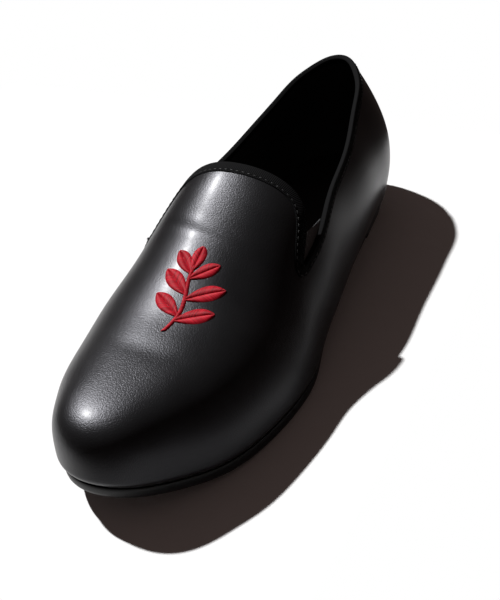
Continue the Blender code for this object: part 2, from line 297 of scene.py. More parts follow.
@dataclass
class Last:
    """Form that the upper is pulled over, as half sections between a sole line and a crest."""

    wall: float = 1.8
    gap: float = 0.3
    notch_y: float = 126.0
    notch_z: float = 48.6
    tongue_y: float = 152.0
    tongue_squareness: float = 7.5
    tongue_shoulder: float = 0.7
    widest_share: float = 0.2
    lower_bulge: float = 0.75
    lower_lift: float = 0.4
    inner_lift: float = 3.0
    inner_lift_end_y: float = 268.0
    probes: int = 240

    def __post_init__(self) -> None:
        """Lay the splines through the tables and find the middle of the outline."""
        knots = np.arange(len(SECTIONS))
        self.stations = table_splines(SECTIONS, knots, level_ends=True)
        self.swing = Spline(knots, [row.swing for row in SECTIONS])
        self.sole_height = table_splines(SOLE_LINE, [row.y for row in SOLE_LINE])["z"]
        self.crest = table_splines(SPINE, [row.y for row in SPINE])
        self.top_edge = table_splines(TOPLINE, [row.y for row in TOPLINE])["z"]
        stations = np.linspace(0, LAST_STATION, self.probes)
        outline = np.concatenate([self.point(stations, self.widest_share, side) for side in Side])
        self.middle = (outline.min(axis=0) + outline.max(axis=0)) / 2
        self.middle[2] = 0

    def metres(self, points: Array) -> Array:
        """Points of the last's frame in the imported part's frame."""
        return (np.asarray(points, float) - self.middle) * MILLIMETRE

    def columns(self, station: Array, side: Side) -> tuple[Array, Array, Array, Array]:
        """Plan of a section on one side.

        Args:
            station: Place along the table of sections.
            side: Half of the shoe.

        Returns:
            Reach, tuck, origin on the spine, and swing in radians.
        """
        reach = self.stations[side.label + "_reach"].at(station)
        tuck = self.stations[side.label + "_tuck"].at(station)
        origin = self.stations["origin"].at(station)
        swing = np.radians(self.swing.at(station))
        return reach, tuck, origin, swing

    def profile(self, station: Array, side: Side) -> tuple[Array, ...]:
        """Rise of the widest place on one side, the wall's lean there, and fullness of wall and crown."""
        names = ("_rise", "_lean", "_wall", "_crown")
        return tuple(self.stations[side.label + name].at(station) for name in names)

    def place(self, origin: Array, swing: Array, radius: Array, z: Array, side: Side) -> Array:
        """Point along a section's direction.

        Args:
            origin: Place of the section on the spine.
            swing: Direction of the section in radians.
            radius: Distance from the spine.
            z: Height.
            side: Half of the shoe.

        Returns:
            Points in millimetres.
        """
        x = self.crest["x"].at(origin) + side.value * np.cos(swing) * radius
        y = origin - np.sin(swing) * radius
        return np.stack([x, y, z + 0 * x], -1)

    def point(self, station: Array, share: Array, side: Side) -> Array:
        """Point of the last.

        Args:
            station: Place along the table of sections, from the toe to the heel.
            share: 0 at the sole edge, 1 on the crest.
            side: Half of the shoe.

        Returns:
            Points in millimetres.
        """
        station, share = np.broadcast_arrays(np.asarray(station, float), np.asarray(share, float))
        reach, tuck, origin, swing = self.columns(station, side)
        low_z = self.sole_height.at(origin - np.sin(swing) * (reach - tuck))
        rise, lean, wall, crown = self.profile(station, side)
        wide_z = low_z + rise
        top_z = self.crest["z"].at(origin)
        top_slope = -np.maximum(np.sin(swing), 0) * self.crest["z"].slope(origin)
        crown_radius = reach * crown
        wall_rise = wall * (top_z - wide_z)

        lower = np.clip(share / self.widest_share, 0, 1)
        bulge = reach - tuck * (1 - self.lower_bulge)
        lift = rise * self.lower_lift
        lower_radius = bezier(reach - tuck, bulge, reach + lean * lift, reach, lower)
        lower_z = bezier(low_z, low_z + lift, wide_z - lift, wide_z, lower)
        upper = np.clip((share - self.widest_share) / (1 - self.widest_share), 0, 1)
        upper_radius = bezier(reach, reach - lean * wall_rise, crown_radius, 0, upper)
        upper_z = bezier(wide_z, wide_z + wall_rise, top_z + top_slope * crown_radius, top_z, upper)

        below = share <= self.widest_share
        radius = np.where(below, lower_radius, upper_radius)
        return self.place(origin, swing, radius, np.where(below, lower_z, upper_z), side)

    def station_at(self, y: Array) -> Array:
        """Station of the straight section that stands at y."""
        stations = np.linspace(FIRST_STRAIGHT, LAST_STRAIGHT, self.probes)
        return np.interp(y, self.stations["origin"].at(stations), stations)

    def share_at_height(self, y: float, z: float, side: Side) -> float:
        """Share at which a straight section above its widest point reaches a height."""
        shares = np.linspace(self.widest_share, 1, self.probes)
        return np.interp(z, self.point(self.station_at(y), shares, side)[:, 2], shares)

    def notch_share(self, side: Side) -> float:
        """Share of the notch's foot."""
        return self.share_at_height(self.notch_y, self.notch_z, side)

    def topline_height(self, y: Array, side: Side) -> Array:
        """Height of the quarter's top edge.

        Args:
            y: Place from the toe to the heel.
            side: Half of the shoe.

        Returns:
            Heights in millimetres.
        """
        along = np.clip((y - self.notch_y) / (self.inner_lift_end_y - self.notch_y), 0, 1)
        lift = self.inner_lift * np.sin(np.pi * along) ** 2 if side is Side.INNER else 0
        return self.top_edge.at(y) + lift

    def topline_share(self, station: float, side: Side) -> float:
        """Share at which a section meets the quarter's top edge.

        Args:
            station: Place along the table of sections.
            side: Half of the shoe.

        Returns:
            The share.
        """
        shares = np.linspace(self.widest_share, 1, self.probes)
        points = self.point(station, shares, side)
        return np.interp(0, points[:, 2] - self.topline_height(points[:, 1], side), shares)

    def tongue_station(self, share: Array, side: Side) -> Array:
        """Station at which the tongue's round back edge crosses a row of the vamp.

        Args:
            share: Share of the row, from the notch's foot to the crest.
            side: Half of the shoe.

        Returns:
            The stations.
        """
        notch_share = self.notch_share(side)
        along = np.clip((share - notch_share) / (1 - notch_share), 0, 1)
        run = (1 - (1 - along) ** self.tongue_squareness) ** (1 / self.tongue_shoulder)
        return self.station_at(self.notch_y + (self.tongue_y - self.notch_y) * run)

    def quarter_edge(self, stations: Array, side: Side) -> Array:
        """Shares of the quarter's top edge.

        Args:
            stations: Run of stations that starts at the notch.
            side: Half of the shoe.

        Returns:
            The share at each station.
        """
        tops = np.array([self.topline_share(station, side) for station in stations])
        tops[0] = self.notch_share(side)
        return tops

    def edge_ring(self, stations: Array, reach: Array, height: Height, side: Side) -> Array:
        """Half outline set off from the upper's lower edge.

        Args:
            stations: Stations along the half outline.
            reach: Distance outwards from the upper's lower edge, at each station.
            height: Height as a function of y.
            side: Half of the shoe.

        Returns:
            Points in millimetres.
        """
        widest, tuck, origin, swing = self.columns(stations, side)
        ring = self.place(origin, swing, widest - tuck + reach, 0 * stations, side)
        ring[:, 2] = height(ring[:, 1])
        return ring


class Facets:
    """Points and faces of one piece in the last's frame, gathered grid by grid."""

    def __init__(self, last: Last) -> None:
        """Start with nothing.

        Args:
            last: Form whose frame the points are in.
        """
        self.last = last
        self.points: list[Array] = []
        self.weave: list[Array] = []
        self.faces: list[list[int]] = []
        self.count = 0

    def grid(self, points: Array, flip: bool = False, weave: Array | None = None) -> None:
        """Add faces over a rectangular grid of points.

        Args:
            points: Grid of shape rows, columns, 3.
            flip: Whether to turn the faces round.
            weave: Length along and across a woven piece at each point, in millimetres.
        """
        points = np.asarray(points, float)
        rows, columns = points.shape[:2]
        index = self.count + np.arange(rows * columns).reshape(rows, columns)
        corners = [index[:-1, :-1], index[:-1, 1:], index[1:, 1:], index[1:, :-1]]
        quads = np.stack(corners[::-1] if flip else corners, -1).reshape(-1, 4)
        self.faces.extend(quads.tolist())
        self.points.append(points.reshape(-1, 3))
        self.weave.append(np.zeros((rows * columns, 2)) if weave is None else weave.reshape(-1, 2))
        self.count += rows * columns

    def mesh(self, name: str) -> bpy.types.Mesh:
        """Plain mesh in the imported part's frame, merged where grids meet, with faces outwards.

        Args:
            name: Name of the mesh.

        Returns:
            The mesh, with the weave as its UV map in metres.
        """
        data = bpy.data.meshes.new(name)
        data.from_pydata(self.last.metres(np.concatenate(self.points)).tolist(), [], self.faces)
        corner = np.empty(len(data.loops), int)
        data.loops.foreach_get("vertex_index", corner)
        layer = data.uv_layers.new(name="weave")
        layer.data.foreach_set("uv", (np.concatenate(self.weave) * MILLIMETRE)[corner].ravel())
        shape = bmesh.new()
        shape.from_mesh(data)
        merge = MERGE * MILLIMETRE
        bmesh.ops.remove_doubles(shape, verts=shape.verts, dist=merge)
        bmesh.ops.dissolve_degenerate(shape, edges=shape.edges, dist=merge)
        bmesh.ops.recalc_face_normals(shape, faces=shape.faces)
        shape.to_mesh(data)
        shape.free()
        return data


class NodeBench:
    """Short way to place and join the nodes of one tree."""

    def __init__(self, tree: bpy.types.NodeTree) -> None:
        """Work on an existing tree.

        Args:
            tree: Tree of a material, a world or a geometry modifier.
        """
        self.tree = tree

    def add(self, kind: str, inputs: dict[str, object] | None = None, **settings: object) -> bpy.types.Node:
        """Place a node.

        Args:
            kind: Type name of the node.
            inputs: Value or source socket for each input, by the input's name.
            settings: Properties of the node.

        Returns:
            The node.
        """
        node = self.tree.nodes.new(kind)
        for name, value in settings.items():
            setattr(node, name, value)
        for name, value in (inputs or {}).items():
            self.feed(node.inputs[name], value)
        return node

    def feed(self, socket: bpy.types.NodeSocket, value: object) -> None:
        """Set an input's value, or link it to a source socket.

        Args:
            socket: The input.
            value: Value or source socket.
        """
        if isinstance(value, bpy.types.NodeSocket):
            self.tree.links.new(value, socket)
        else:
            socket.default_value = value

    def spot(self) -> bpy.types.NodeSocket:
        """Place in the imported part's frame."""
        return self.add("ShaderNodeTexCoord").outputs["Object"]

    def noise(self, vector: bpy.types.NodeSocket, size: float, detail: float = 2.0) -> bpy.types.NodeSocket:
        """Soft noise with patches of a size in millimetres."""
        inputs = {"Vector": vector, "Scale": 1 / (size * MILLIMETRE), "Detail": detail}
        return self.add("ShaderNodeTexNoise", inputs).outputs["Fac"]

    def math(self, operation: str, first: object, second: object = 0.0) -> bpy.types.NodeSocket:
        """Sum, product or other operation on two values.

        Args:
            operation: Blender's name of the operation.
            first: Value or source socket.
            second: Value or source socket.

        Returns:
            The result.
        """
        node = self.add("ShaderNodeMath", operation=operation)
        self.feed(node.inputs[0], first)
        self.feed(node.inputs[1], second)
        return node.outputs["Value"]

    def span(self, share: bpy.types.NodeSocket, low: float, high: float) -> bpy.types.NodeSocket:
        """Number between two numbers, at a share from 0 to 1."""
        inputs = {"Value": share, "To Min": low, "To Max": high}
        return self.add("ShaderNodeMapRange", inputs).outputs["Result"]

    def blend(self, share: bpy.types.NodeSocket, first: Colour, second: Colour) -> bpy.types.NodeSocket:
        """Colour between two colours.

        Args:
            share: 0 for the first colour, 1 for the second.
            first: First colour.
            second: Second colour.

        Returns:
            The blended colour.
        """
        node = self.add("ShaderNodeMix", data_type="RGBA")
        self.feed(node.inputs[MIX_SHARE], share)
        self.feed(node.inputs[MIX_FIRST], (*first, 1))
        self.feed(node.inputs[MIX_SECOND], (*second, 1))
        return node.outputs[MIX_COLOUR]


class Pattern(NamedTuple):
    """What a finish varies over its surface: its relief, and its tone from 0, dark, to 1, light."""

    height: bpy.types.NodeSocket
    tone: bpy.types.NodeSocket


@dataclass(frozen=True)
class Finish(ABC):
    """Surface of a piece: two tones, gloss and a relief. Kinds of finish give their own pattern."""

    name: str
    slot: str
    dark: Colour
    light: Colour
    smooth: float
    rough: float
    relief: float
    bump: float = 1.0
    specular: float = 0.5
    gloss: Colour = (1.0, 1.0, 1.0)
    coat: float = 0.0
    coat_roughness: float = 0.2

    @abstractmethod
    def pattern(self, bench: NodeBench) -> Pattern:
        """What this kind of finish varies over its surface.

        Args:
            bench: Bench of the material's tree.

        Returns:
            Relief and tone.
        """

    def make(self) -> bpy.types.Material:
        """Make the material once.

        Returns:
            The material of this finish.
        """
        if self.name in bpy.data.materials:
            return bpy.data.materials[self.name]
        material = bpy.data.materials.new(self.name)
        material.use_nodes = True
        bench = NodeBench(material.node_tree)
        shader = material.node_tree.nodes["Principled BSDF"]
        pattern = self.pattern(bench)
        height = {"Height": pattern.height, "Strength": self.bump, "Distance": self.relief * MILLIMETRE}
        values = {
            "Base Color": bench.blend(pattern.tone, self.dark, self.light),
            "Roughness": bench.span(pattern.tone, self.smooth, self.rough),
            "Normal": bench.add("ShaderNodeBump", height).outputs["Normal"],
            "Specular IOR Level": self.specular,
            "Specular Tint": (*self.gloss, 1.0),
            "Coat Weight": self.coat,
            "Coat Roughness": self.coat_roughness,
        }
        for name, value in values.items():
            bench.feed(shader.inputs[name], value)
        return material


@dataclass(frozen=True)
class Plain(Finish):
    """Even surface with a fine relief and a cloudy tone."""

    grain: float = 0.5
    cloud: float = 9.0
    cloud_detail: float = 4.0

    def pattern(self, bench: NodeBench) -> Pattern:
        """Fine grain and soft clouds.

        Args:
            bench: Bench of the material's tree.

        Returns:
            Relief and tone.
        """
        spot = bench.spot()
        return Pattern(bench.noise(spot, self.grain), bench.noise(spot, self.cloud, self.cloud_detail))


@dataclass(frozen=True)
class Leather(Finish):
    """Smooth dressed leather with a fine pebbled grain."""

    pebble: float = 0.7
    pebble_blur: float = 0.6
    pebble_share: float = 0.3
    pore: float = 0.5
    pore_share: float = 0.7
    swell: float = 14.0
    swell_detail: float = 3.0

    def pattern(self, bench: NodeBench) -> Pattern:
        """Pebbles between fine valleys, pores and slow swells.

        Args:
            bench: Bench of the material's tree.

        Returns:
            Relief and tone.
        """
        spot = bench.spot()
        cells = {"Vector": spot, "Scale": 1 / (self.pebble * MILLIMETRE), "Smoothness": self.pebble_blur}
        distance = bench.add("ShaderNodeTexVoronoi", cells, feature="SMOOTH_F1").outputs["Distance"]
        valleys = bench.math("MULTIPLY", distance, self.pebble_share)
        pores = bench.math("MULTIPLY", bench.noise(spot, self.pore), self.pore_share)
        grain = bench.math("SUBTRACT", pores, valleys)
        return Pattern(grain, bench.noise(spot, self.swell, self.swell_detail))


@dataclass(frozen=True)
class Woven(Finish):
    """Cloth with ribs across its length and fine yarns, on the piece's weave map, with painted shade in the
    hollows between them.
    """

    rib: float = 0.9
    rib_share: float = 0.6
    yarn: float = 0.45
    waviness: float = 0.4
    lint: float = 0.6
    lint_detail: float = 3.0
    lint_floor: float = 0.4

    def pattern(self, bench: NodeBench) -> Pattern:
        """Ribs across the length and yarns along it, with a tone that follows them: painted shade in the
        hollows.

        Args:
            bench: Bench of the material's tree.

        Returns:
            Relief and tone.
        """
        ribs = bench.math("MULTIPLY", self.bands(bench, WeaveAxis.ALONG, self.rib), self.rib_share)
        yarns = bench.math("MULTIPLY", self.bands(bench, WeaveAxis.ACROSS, self.yarn), 1 - self.rib_share)
        height = bench.math("ADD", ribs, yarns)
        lint = bench.noise(bench.spot(), self.lint, self.lint_detail)
        # Tone follows the relief, so the hollows between ribs and yarns get painted shade, spread a little
        # by a lint noise
        return Pattern(height, bench.math("MULTIPLY", height, bench.math("ADD", lint, self.lint_floor)))

    def bands(self, bench: NodeBench, axis: WeaveAxis, pitch: float) -> bpy.types.NodeSocket:
        """Wavy bands that follow one another along the weave map.

        Args:
            bench: Bench of the material's tree.
            axis: Direction from band to band.
            pitch: Distance from band to band in millimetres.

        Returns:
            Share from 0 between the bands to 1 on their backs.
        """
        weave = bench.add("ShaderNodeUVMap", uv_map="weave").outputs["UV"]
        scale = 2 * np.pi / (WAVE_RADIANS * pitch * MILLIMETRE)
        inputs = {"Vector": weave, "Scale": scale, "Distortion": self.waviness}
        return bench.add("ShaderNodeTexWave", inputs, bands_direction=axis.value).outputs["Fac"]


@dataclass(frozen=True)
class Thread(Finish):
    """Twisted thread whose strands differ a little in tone."""

    twist: float = 0.5

    def pattern(self, bench: NodeBench) -> Pattern:
        """Fine twist over the tone that each thread carries.

        Args:
            bench: Bench of the material's tree.

        Returns:
            Relief and tone.
        """
        tint = bench.add("ShaderNodeAttribute", attribute_name="tint").outputs["Fac"]
        return Pattern(bench.noise(bench.spot(), self.twist), tint)


UPPER_LEATHER = Leather(
    name="black_grain_leather",
    slot="black_leather",
    dark=(0.0065, 0.0065, 0.0070),
    light=(0.0125, 0.0125, 0.0132),
    smooth=0.30,
    rough=0.36,
    relief=0.135,
    specular=0.21,
    gloss=(0.9, 0.9, 1.0),
    coat=0.08,
    coat_roughness=0.23,
)
LINING_LEATHER = Leather(
    name="black_lining",
    slot="black_sock",
    dark=(0.006, 0.006, 0.0065),
    light=(0.010, 0.010, 0.011),
    smooth=0.6,
    rough=0.75,
    relief=0.05,
    pebble=1.4,
)
SOCK_LEATHER = Leather(
    name="black_sock_leather",
    slot="black_sock",
    dark=(0.006, 0.006, 0.0065),
    light=(0.011, 0.011, 0.012),
    smooth=0.55,
    rough=0.7,
    relief=0.06,
    pebble=1.3,
)
SOLE_RUBBER = Plain(
    name="black_sole_rubber",
    slot="black_sole",
    dark=(0.004, 0.004, 0.0045),
    light=(0.008, 0.008, 0.009),
    smooth=0.42,
    rough=0.52,
    relief=0.06,
    bump=0.5,
    specular=0.22,
)
HEEL_RUBBER = Plain(
    name="black_heel_rubber",
    slot="black_heel",
    dark=(0.008, 0.008, 0.009),
    light=(0.014, 0.014, 0.015),
    smooth=0.42,
    rough=0.55,
    relief=0.06,
    bump=0.5,
)
# Its dark tone lies in the hollows between the ribs as painted shade, its light tone on the ribs' backs
TAPE_CLOTH = Woven(
    name="black_tape_cloth",
    slot="black_tape",
    dark=(0.0015, 0.0015, 0.0018),
    light=(0.0045, 0.0045, 0.0051),
    smooth=0.75,
    rough=0.9,
    relief=0.16,
    specular=0.1,
)
# Its dark tone lies in the hollows between the ribs as painted shade, its light tone on the ribs' backs
GORE_ELASTIC = Woven(
    name="grey_elastic",
    slot="black_elastic",
    dark=(0.09, 0.095, 0.10),
    light=(0.20, 0.21, 0.22),
    smooth=0.75,
    rough=0.9,
    relief=0.12,
    specular=0.3,
    rib=0.8,
    yarn=0.8,
)
TAPE_THREAD = Thread(
    name="black_thread",
    slot="black_tape",
    dark=(0.007, 0.007, 0.0077),
    light=(0.015, 0.015, 0.0165),
    smooth=0.45,
    rough=0.55,
    relief=0.05,
)
SPRIG_THREAD = Thread(
    name="red_satin_thread",
    slot="red_thread",
    dark=(0.30, 0.005, 0.013),
    light=(0.60, 0.013, 0.031),
    smooth=0.42,
    rough=0.52,
    relief=0.04,
    specular=0.2,
    twist=0.25,
)
PALE_FLOOR = Plain(
    name="pale_floor",
    slot="floor",
    dark=(0.80, 0.80, 0.80),
    light=(0.83, 0.83, 0.83),
    smooth=0.85,
    rough=0.9,
    relief=0.05,
    bump=0.1,
    specular=0.1,
)


def add_piece(
    name: str, mesh: bpy.types.Mesh, finish: Finish, node: str | None = None, sharp: float = 40.0
) -> None:
    """Dress a mesh and put it into the scene as a piece that rides on the shoe's body.

    Args:
        name: Name of the piece.
        mesh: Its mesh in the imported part's frame.
        finish: Its finish.
        node: CAD node that it stands for.
        sharp: Angle in degrees above which an edge stays sharp.
    """
    mesh.materials.clear()
    mesh.materials.append(finish.make())
    mesh.shade_smooth()
    mesh.set_sharp_from_angle(angle=np.radians(sharp))
    piece = bpy.data.objects.new(name, mesh)
    bpy.context.scene.collection.objects.link(piece)
    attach(piece, BODY)
    if node:
        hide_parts(node)
    log.info("%s: %d faces in %s", name, len(mesh.polygons), finish.name)


class Surface:
    """Skin that points are dropped on or stepped along."""

    def __init__(self, points: Array, faces: Sequence[Sequence[int]]) -> None:
        """Index the skin.

        Args:
            points: Vertices in millimetres.
            faces: Vertex numbers of each face.
        """
        self.tree = BVHTree.FromPolygons(points.tolist(), faces)

    @staticmethod
    def split(hits: Sequence[tuple]) -> tuple[Array, Array]:
        """Places and normals of a run of hits."""
        return np.array([hit[0] for hit in hits]), unit(np.array([hit[1] for hit in hits]))

    def nearest(self, points: Array) -> tuple[Array, Array]:
        """Nearest points of the skin and the normals there."""
        return self.split([self.tree.find_nearest(Vector(point)) for point in points])

    def below(self, plan: Array, height: float = 200.0) -> tuple[Array, Array]:
        """Points of the skin under places in plan, and the normals there."""
        down = Vector((0, 0, -1))
        return self.split([self.tree.ray_cast(Vector((x, y, height)), down) for x, y in plan])


def vertex_arrays(shape: bmesh.types.BMesh) -> tuple[Array, Array]:
    """Places and normals of a shape's vertices."""
    points = np.array([vertex.co for vertex in shape.verts])
    return points, np.array([vertex.normal for vertex in shape.verts])


# Power of a crease's fade to its ends, and its ridge's place and width as multiples of its width
CREASE_FADE = 0.8
RIDGE_PLACE = 2.0
RIDGE_WIDTH = 1.3


class Crease(NamedTuple):
    """Soft trough across the vamp, with a low ridge on the heel side, in the last's plan."""

    start_x: float
    start_y: float
    end_x: float
    end_y: float
    bow: float
    depth: float
    width: float
    ridge: float

    def lift(self, points: Array) -> Array:
        """Height that the crease adds at each point, in millimetres.

        Args:
            points: Points of the upper.

        Returns:
            Negative in the trough and positive on the ridge.
        """
        start = np.array([self.start_x, self.start_y])
        run = np.array([self.end_x, self.end_y]) - start
        length = np.hypot(*run)
        along = ((points[:, :2] - start) @ run) / length**2
        heelwards = np.array([-run[1], run[0]]) / length * np.sign(run[0])
        aside = (points[:, :2] - start) @ heelwards
        inside = np.clip(along, 0, 1)
        aside += self.bow * 4 * inside * (1 - inside)
        fade = np.sin(np.pi * inside) ** CREASE_FADE
        trough = -np.exp(-((aside / self.width) ** 2))
        from_ridge = (aside - RIDGE_PLACE * self.width) / (RIDGE_WIDTH * self.width)
        return self.depth * fade * (trough + self.ridge * np.exp(-(from_ridge**2)))


CREASES = (
    Crease(-34.0, 125.0, 16.0, 112.0, 2.0, 0.18, 2.2, 0.5),
    Crease(-26.0, 59.0, 34.0, 61.0, 8.0, 0.22, 5.0, 0.6),
)


@dataclass
class Upper:
    """Leather upper and its lining, drawn over the last with the creases of wear."""

    last: Last
    leather: float = 1.15
    lining_top: float = 1.2
    sole_overlap: float = 0.25
    vamp_steps: int = 130
    tongue_steps: int = 26
    quarter_steps: int = 120
    rows_to_notch: int = 46
    rows_to_crest: int = 44
    smoothing: int = 6
    smoothing_strength: float = 0.5
    crease_floor_z: float = 34.0
    crease_full_z: float = 46.0
    crease_end_y: float = 150.0
    crease_end_fade: float = 12.0

    def rows(self, notch_share: float) -> tuple[Array, Array]:
        """Rows of points up one side.

        Args:
            notch_share: Share of the notch's foot.

        Returns:
            Shares of the rows up to the notch, and of those from it to the crest.
        """
        below = np.linspace(0, notch_share, self.rows_to_notch + 1)
        rise = np.linspace(0, 1, self.rows_to_crest + 1) ** NOTCH_CROWDING
        return below, notch_share + (1 - notch_share) * rise

    def grids(self, side: Side) -> list[Array]:
        """Grids of points over one side, whose rows meet the other side's at the toe.

        Args:
            side: Half of the shoe.

        Returns:
            Vamp, tongue and quarter.
        """
        last = self.last
        notch_share = last.notch_share(side)
        notch_station = last.station_at(last.notch_y)
        below, above = self.rows(notch_share)
        rows = np.concatenate([below, above[1:]])
        toe_below, toe_above = self.rows(np.mean([last.notch_share(half) for half in Side]))
        toe_rows = np.concatenate([toe_below, toe_above[1:]])
        along = np.linspace(0, 1, self.vamp_steps + 1)
        vamp_shares = toe_rows[:, None] + (rows - toe_rows)[:, None] * along[None, :]
        vamp = last.point(notch_station * along[None, :], vamp_shares, side)
        shares = np.linspace(0, 1, self.tongue_steps + 1)
        ends = last.tongue_station(above, side)
        tongue_stations = notch_station + (ends[:, None] - notch_station) * shares[None, :]
        tongue = last.point(tongue_stations, above[:, None], side)
        quarter_stations = np.linspace(notch_station, LAST_STATION, self.quarter_steps + 1)
        tops = last.quarter_edge(quarter_stations, side)
        quarter = last.point(quarter_stations[None, :], below[:, None] / notch_share * tops[None, :], side)
        vamp[0, :, 2] -= self.sole_overlap
        quarter[0, :, 2] -= self.sole_overlap
        return [vamp, tongue, quarter]

    def skin(self) -> bmesh.types.BMesh:
        """Draw the leather over the last.

        Returns:
            Its outer face in millimetres, smoothed, with its creases.
        """
        facets = Facets(self.last)
        for side in Side:
            for grid in self.grids(side):
                facets.grid(grid, flip=side is Side.INNER)
        data = bpy.data.meshes.new("skin")
        data.from_pydata(np.concatenate(facets.points).tolist(), [], facets.faces)
        shape = bmesh.new()
        shape.from_mesh(data)
        bpy.data.meshes.remove(data)
        bmesh.ops.remove_doubles(shape, verts=shape.verts, dist=MERGE)
        bmesh.ops.dissolve_degenerate(shape, edges=shape.edges, dist=MERGE)
        inside = [vertex for vertex in shape.verts if not vertex.is_boundary]
        for _ in range(self.smoothing):
            bmesh.ops.smooth_vert(
                shape,
                verts=inside,
                factor=self.smoothing_strength,
                use_axis_x=True,
                use_axis_y=True,
                use_axis_z=True,
            )
        shape.normal_update()
        points, normals = vertex_arrays(shape)
        lift = sum(crease.lift(points) for crease in CREASES)
        lift *= ease((points[:, 2] - self.crease_floor_z) / (self.crease_full_z - self.crease_floor_z))
        lift *= ease((self.crease_end_y - points[:, 1]) / self.crease_end_fade)
        for vertex, point in zip(shape.verts, points + normals * lift[:, None]):
            vertex.co = point
        shape.normal_update()
        shape.verts.index_update()
        return shape

    def layer(self, shape: bmesh.types.BMesh, name: str, high: float, low: float) -> bpy.types.Mesh:
        """Closed layer of the upper between two depths under its outer face.

        Args:
            shape: Outer face of the leather.
            name: Name of the mesh.
            high: Depth of the layer's outer face.
            low: Depth of its inner face.

        Returns:
            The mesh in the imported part's frame.
        """
        points, normals = vertex_arrays(shape)
        count = len(points)
        faces = [[vertex.index for vertex in face.verts] for face in shape.faces]
        inner = [[index + count for index in reversed(face)] for face in faces]
        rim = []
        for edge in shape.edges:
            if edge.is_boundary:
                loop = edge.link_loops[0]
                first = loop.vert.index
                second = loop.link_loop_next.vert.index
                rim.append([second, first, first + count, second + count])
        both = np.concatenate([points - high * normals, points - low * normals])
        data = bpy.data.meshes.new(name)
        data.from_pydata(self.last.metres(both).tolist(), [], faces + inner + rim)
        return data

    def build(self) -> Surface:
        """Make the leather and the lining.

        Returns:
            The leather's outer face, for what is sewn onto it.
        """
        shape = self.skin()
        leather = self.layer(shape, "upper_leather", 0, self.leather)
        add_piece("upper_leather", leather, UPPER_LEATHER, "upper")
        lining = self.layer(shape, "upper_lining", self.lining_top, self.last.wall)
        add_piece("upper_lining", lining, LINING_LEATHER)
        points, _ = vertex_arrays(shape)
        loops = shape.calc_loop_triangles()
        triangles = [[corner.vert.index for corner in triangle] for triangle in loops]
        shape.free()
        return Surface(points, triangles)


class EdgeRow(NamedTuple):
    """Row of a plate's edge: inset from the edge's own line, and share of the way down."""

    inset: float
    drop: float


@dataclass
class Plate(ABC):
    """Sole-shaped piece with a rounded edge between two heights that follow y."""

    last: Last
    name: str
    node: str
    finish: Finish
    rows: tuple[EdgeRow, ...]
    start_y: float | None = None
    steps: int = 150

    @abstractmethod
    def top(self, y: Array) -> Array:
        """Height of the upper face."""

    @abstractmethod
    def bottom(self, y: Array) -> Array:
        """Height of the lower face."""

    @abstractmethod
    def reach(self, stations: Array, drop: float) -> Array:
        """How far the edge stands out from the upper's lower edge, at a share of the way down."""

    def build(self) -> None:
        """Make the piece from its rings, closed above, below and at a straight front."""
        facets = Facets(self.last)
        start = 0 if self.start_y is None else self.last.station_at(self.start_y)
        stations = np.linspace(start, LAST_STATION, self.steps + 1)
        halves = []
        for side in Side:
            rings = []
            for row in self.rows:
                reach = self.reach(stations, row.drop) - row.inset
                ring = self.last.edge_ring(stations, reach, self.top, side)
                low = self.bottom(ring[:, 1])
                ring[:, 2] += (low - ring[:, 2]) * row.drop
                rings.append(ring)
            halves.append(np.array(rings))
            facets.grid(halves[-1])
        for row in (0, -1):
            facets.grid(np.array([half[row] for half in halves]))
        if self.start_y is not None:
            facets.grid(np.array([half[:, 0] for half in halves]))
        add_piece(self.name, facets.mesh(self.name), self.finish, self.node)


@dataclass
class Outsole(Plate):
    """Thin rubber sole with a flat tread, trimmed close and bevelled from the waist back."""

    thickness: float = SOLE_THICKNESS
    forefoot_reach: float = 0.8
    waist_reach: float = 0.2
    waist_bevel: float = 1.9
    forefoot_end_y: float = 95.0
    waist_start_y: float = 150.0

    def reach(self, stations: Array, drop: float) -> Array:
        """How far the edge stands out from the upper's lower edge.

        Args:
            stations: Stations along the half outline.
            drop: Share of the way down.

        Returns:
            Distance at each station.
        """
        y = self.last.stations["origin"].at(stations)
        waist = ease((y - self.forefoot_end_y) / (self.waist_start_y - self.forefoot_end_y))
        trimmed = self.waist_reach - self.waist_bevel * drop
        return self.forefoot_reach + (trimmed - self.forefoot_reach) * waist

    def top(self, y: Array) -> Array:
        """Height of the upper face, just under the upper."""
        return self.last.sole_height.at(y) - self.last.gap

    def bottom(self, y: Array) -> Array:
        """Height of the lower face, which never goes under the floor."""
        return np.maximum(self.top(y) - self.thickness, 0)


@dataclass
class Heel(Plate):
    """Low block between the outsole and the floor, narrower at its foot."""

    start_y: float | None = 222.0
    steps: int = 90
    sole_thickness: float = SOLE_THICKNESS
    top_inset: float = 2.8
    foot_inset: float = 4.6

    def reach(self, stations: Array, drop: float) -> Array:
        """How far the edge stands out from the upper's lower edge, at a share of the way down."""
        return 0 * stations - self.top_inset - (self.foot_inset - self.top_inset) * drop

    def top(self, y: Array) -> Array:
        """Height of the upper face, just under the outsole."""
        return self.last.sole_height.at(y) - self.last.gap - self.sole_thickness

    def bottom(self, y: Array) -> Array:
        """Height of the lower face, on the floor."""
        return 0 * y


@dataclass
class Insole(Plate):
    """Sock that lies inside the upper on the sole."""

    thickness: float = 2.5
    inset: float = 2.6

    def reach(self, stations: Array, drop: float) -> Array:
        """How far the edge stands out from the upper's lower edge, at a share of the way down."""
        return 0 * stations - self.inset

    def top(self, y: Array) -> Array:
        """Height of the upper face."""
        return self.last.sole_height.at(y) + self.thickness

    def bottom(self, y: Array) -> Array:
        """Height of the lower face."""
        return self.last.sole_height.at(y)


